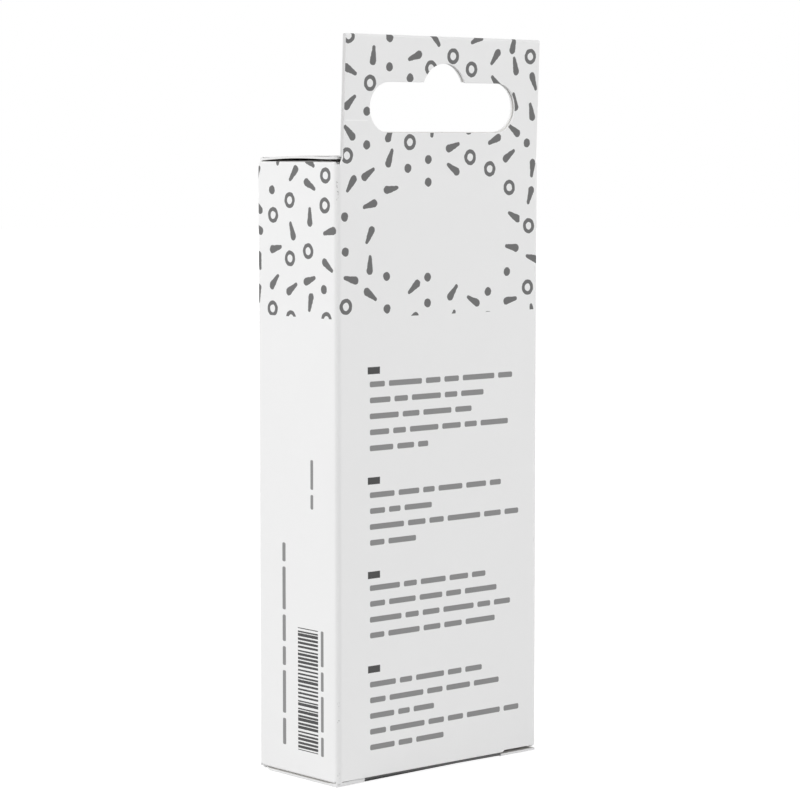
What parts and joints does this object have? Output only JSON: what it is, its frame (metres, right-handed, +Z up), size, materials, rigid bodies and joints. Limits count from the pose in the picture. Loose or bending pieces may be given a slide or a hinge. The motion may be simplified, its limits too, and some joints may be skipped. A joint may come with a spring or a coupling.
{
  "type": "boxed sealing wax sticks",
  "caption": "White folding carton with a euro-slot hang tab and tuck lids at both ends, holding round sealing wax sticks with wicks side by side.",
  "frame": {"origin": "middle of the carton's footprint, on the underside of the bottom lid", "axes": "+Z up the carton to the hang tab, +X across its width, and +Y from the hang tab's panel through to the opposite panel"},
  "size_m": [0.046, 0.022, 0.1253],
  "materials": {
    "white_board": "matte",
    "red_wax": "satin",
    "cotton_wick": "matte"
  },
  "bodies": {
    "sleeve": {"back_panel": "white_board", "hang_tab_backing": "white_board", "left_side_panel": "white_board", "front_panel": "white_board", "right_side_panel": "white_board", "glue_flap": "white_board"},
    "top_lid": {"top_lid": "white_board"},
    "top_tongue": {"top_tuck_tongue": "white_board"},
    "top_left_flap": {"top_left_dust_flap": "white_board"},
    "top_right_flap": {"top_right_dust_flap": "white_board"},
    "bottom_lid": {"bottom_lid": "white_board"},
    "bottom_tongue": {"bottom_tuck_tongue": "white_board"},
    "bottom_left_flap": {"bottom_left_dust_flap": "white_board"},
    "bottom_right_flap": {"bottom_right_dust_flap": "white_board"},
    "left_stick": {"left_wax_stick": "red_wax", "left_wick": "cotton_wick"},
    "right_stick": {"right_wax_stick": "red_wax", "right_wick": "cotton_wick"}
  },
  "joints": [
    {"name": "top_lid_fold", "type": "hinge", "parent": "sleeve", "child": "top_lid", "pos_m": [0, 0.0102, 0.1046], "axis": [-1, 0, 0], "range_deg": [0, 135]},
    {"name": "top_tongue_fold", "type": "hinge", "parent": "top_lid", "child": "top_tongue", "pos_m": [0, -0.00895, 0.1046], "axis": [1, 0, 0], "range_deg": [0, 37]},
    {"name": "top_left_flap_fold", "type": "hinge", "parent": "sleeve", "child": "top_left_flap", "pos_m": [-0.0226, 0, 0.1039], "axis": [0, -1, 0], "range_deg": [0, 72]},
    {"name": "top_right_flap_fold", "type": "hinge", "parent": "sleeve", "child": "top_right_flap", "pos_m": [0.0226, 0, 0.1039], "axis": [0, 1, 0], "range_deg": [0, 72]},
    {"name": "bottom_lid_fold", "type": "hinge", "parent": "sleeve", "child": "bottom_lid", "pos_m": [0, 0.0102, 0.0004], "axis": [1, 0, 0], "range_deg": [0, 135]},
    {"name": "bottom_tongue_fold", "type": "hinge", "parent": "bottom_lid", "child": "bottom_tongue", "pos_m": [0, -0.00967, 0.0004], "axis": [-1, 0, 0], "range_deg": [0, 37]},
    {"name": "bottom_left_flap_fold", "type": "hinge", "parent": "sleeve", "child": "bottom_left_flap", "pos_m": [-0.0226, 0, 0.0011], "axis": [0, 1, 0], "range_deg": [0, 72]},
    {"name": "bottom_right_flap_fold", "type": "hinge", "parent": "sleeve", "child": "bottom_right_flap", "pos_m": [0.0226, 0, 0.0011], "axis": [0, -1, 0], "range_deg": [0, 72]},
    {"name": "left_stick_slide", "type": "slide", "parent": "sleeve", "child": "left_stick", "axis": [0, 0, 1], "range_m": [0, 0.0035]},
    {"name": "right_stick_slide", "type": "slide", "parent": "sleeve", "child": "right_stick", "axis": [0, 0, 1], "range_m": [0, 0.0035]}
  ],
  "couplings": [
    {"joint": "top_tongue_fold", "follows": "top_lid_fold", "ratio": 0.25},
    {"joint": "top_left_flap_fold", "follows": "top_lid_fold", "ratio": 0.5},
    {"joint": "top_right_flap_fold", "follows": "top_lid_fold", "ratio": 0.5},
    {"joint": "bottom_tongue_fold", "follows": "bottom_lid_fold", "ratio": 0.25},
    {"joint": "bottom_left_flap_fold", "follows": "bottom_lid_fold", "ratio": 0.5},
    {"joint": "bottom_right_flap_fold", "follows": "bottom_lid_fold", "ratio": 0.5}
  ]
}
